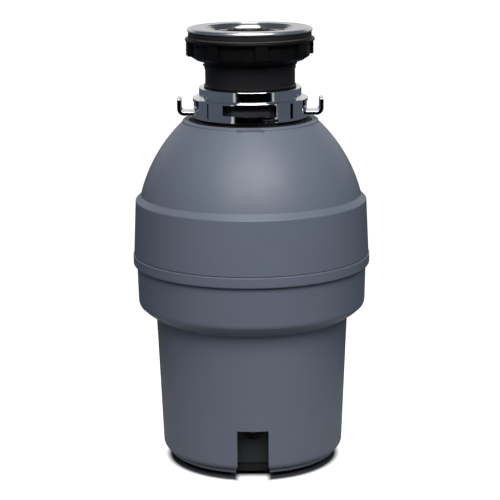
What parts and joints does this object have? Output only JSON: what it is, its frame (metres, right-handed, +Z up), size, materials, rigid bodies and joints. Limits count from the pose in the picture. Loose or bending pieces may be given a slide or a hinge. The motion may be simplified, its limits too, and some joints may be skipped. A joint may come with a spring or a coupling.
{
  "type": "kitchen garbage disposal",
  "caption": "Under-sink food waste disposal: grey domed sound shell with a wide belt, twist-lock sink mount, spinning grind plate with swivel impellers, and an induction motor.",
  "frame": {"origin": "centre of the base, on the surface the disposal stands on", "axes": "+Z up along the motor shaft, -Y to the front with the notch, +Y to the rear with the waste outlet, +X to the right seen from the front"},
  "size_m": [0.2204, 0.2204, 0.405],
  "materials": {
    "brushed_steel_flange": "fine brushed rim, polished bowl",
    "rubber_black": "matte",
    "fibre_black": "matte fibre",
    "black_plastic": "satin moulded",
    "ring_chrome": "polished",
    "shell_grey": "fine satin moulded",
    "zinc_steel": "zinc plated",
    "dark_grey_plastic": "moulded",
    "button_plastic": "smooth",
    "phenolic_brown": "pressed board",
    "green_screw": "green passivated",
    "foam_grey": "open foam",
    "stainless": "stamped",
    "cast_aluminium": "die cast",
    "bronze": "sintered",
    "lamination_steel": "laminated",
    "copper_enamel": "enamelled wire",
    "nylon_white": "moulded"
  },
  "bodies": {
    "housing": {"sink_flange": "brushed_steel_flange", "flange_gasket": "rubber_black", "mount_throat": "black_plastic", "mount_seal": "rubber_black", "neck_cushion": "rubber_black", "upper_shell": "shell_grey", "lower_shell": "shell_grey", "base_plate": "black_plastic", "base_screws": "zinc_steel", "service_panel": "dark_grey_plastic", "button_bezel": "black_plastic", "overload_protector": "black_plastic", "start_capacitor": "black_plastic", "start_switch": "phenolic_brown", "terminal_box": "black_plastic", "terminal_lid": "black_plastic", "ground_screw": "green_screw", "cable_gland": "rubber_black", "upper_insulation": "foam_grey", "lower_insulation": "foam_grey", "hopper": "dark_grey_plastic", "dishwasher_inlet": "black_plastic", "inlet_plug": "dark_grey_plastic", "inlet_grommet": "rubber_black", "hopper_gasket": "rubber_black", "hopper_screws": "zinc_steel", "grind_ring": "stainless", "drain_housing": "dark_grey_plastic", "shaft_seal": "rubber_black", "upper_end_frame": "cast_aluminium", "upper_bearing": "bronze", "motor_can": "zinc_steel", "stator_core": "lamination_steel", "stator_windings": "copper_enamel", "lower_end_frame": "cast_aluminium", "lower_bearing": "bronze", "tie_bolts": "zinc_steel"},
    "splash_guard": {"splash_guard": "rubber_black"},
    "lock_ring": {"lock_ring": "ring_chrome"},
    "nut_washer": {"nut_washer": "fibre_black"},
    "mount_nut": {"mount_nut": "black_plastic"},
    "reset_button": {"reset_button": "button_plastic"},
    "rotor": {"turntable": "stainless", "impeller_pins": "stainless", "turntable_washer": "zinc_steel", "turntable_nut": "zinc_steel", "motor_shaft": "stainless", "rotor_core": "lamination_steel", "rotor_end_rings": "cast_aluminium", "thrust_washers": "bronze"},
    "impeller_a": {"impeller_a": "stainless"},
    "impeller_b": {"impeller_b": "stainless"},
    "governor": {"governor_collar": "nylon_white"}
  },
  "joints": [
    {"name": "splash_guard_lift", "type": "slide", "parent": "housing", "child": "splash_guard", "axis": [0, 0, 1], "range_m": [0, 0.08]},
    {"name": "lock_ring_turn", "type": "hinge", "parent": "housing", "child": "lock_ring", "pos_m": [0, 0, 0.335], "axis": [0, 0, 1], "range_deg": [0, 45]},
    {"name": "nut_travel", "type": "slide", "parent": "housing", "child": "nut_washer", "axis": [0, 0, 1], "range_m": [-0.012, 0]},
    {"name": "nut_turn", "type": "hinge", "parent": "nut_washer", "child": "mount_nut", "pos_m": [0, 0, 0.386], "axis": [0, 0, 1], "range_deg": [-1440, 0]},
    {"name": "reset_press", "type": "slide", "parent": "housing", "child": "reset_button", "axis": [0, 1, 0], "range_m": [0, 0.003], "stiffness_N_per_m": 400, "springref_m": -0.001},
    {"name": "rotor_spin", "type": "hinge", "parent": "housing", "child": "rotor", "pos_m": [0, 0, 0.15], "axis": [0, 0, 1], "continuous": true},
    {"name": "impeller_a_swing", "type": "hinge", "parent": "rotor", "child": "impeller_a", "pos_m": [0.05, 0, 0.215], "axis": [0, 0, 1], "continuous": true},
    {"name": "impeller_b_swing", "type": "hinge", "parent": "rotor", "child": "impeller_b", "pos_m": [-0.05, 0, 0.215], "axis": [0, 0, 1], "continuous": true},
    {"name": "governor_slide", "type": "slide", "parent": "rotor", "child": "governor", "axis": [0, 0, 1], "range_m": [0, 0.0025], "stiffness_N_per_m": 300, "springref_m": -0.001}
  ],
  "couplings": [
    {"joint": "nut_travel", "follows": "nut_turn", "m_per_rad": 0.00047746}
  ]
}
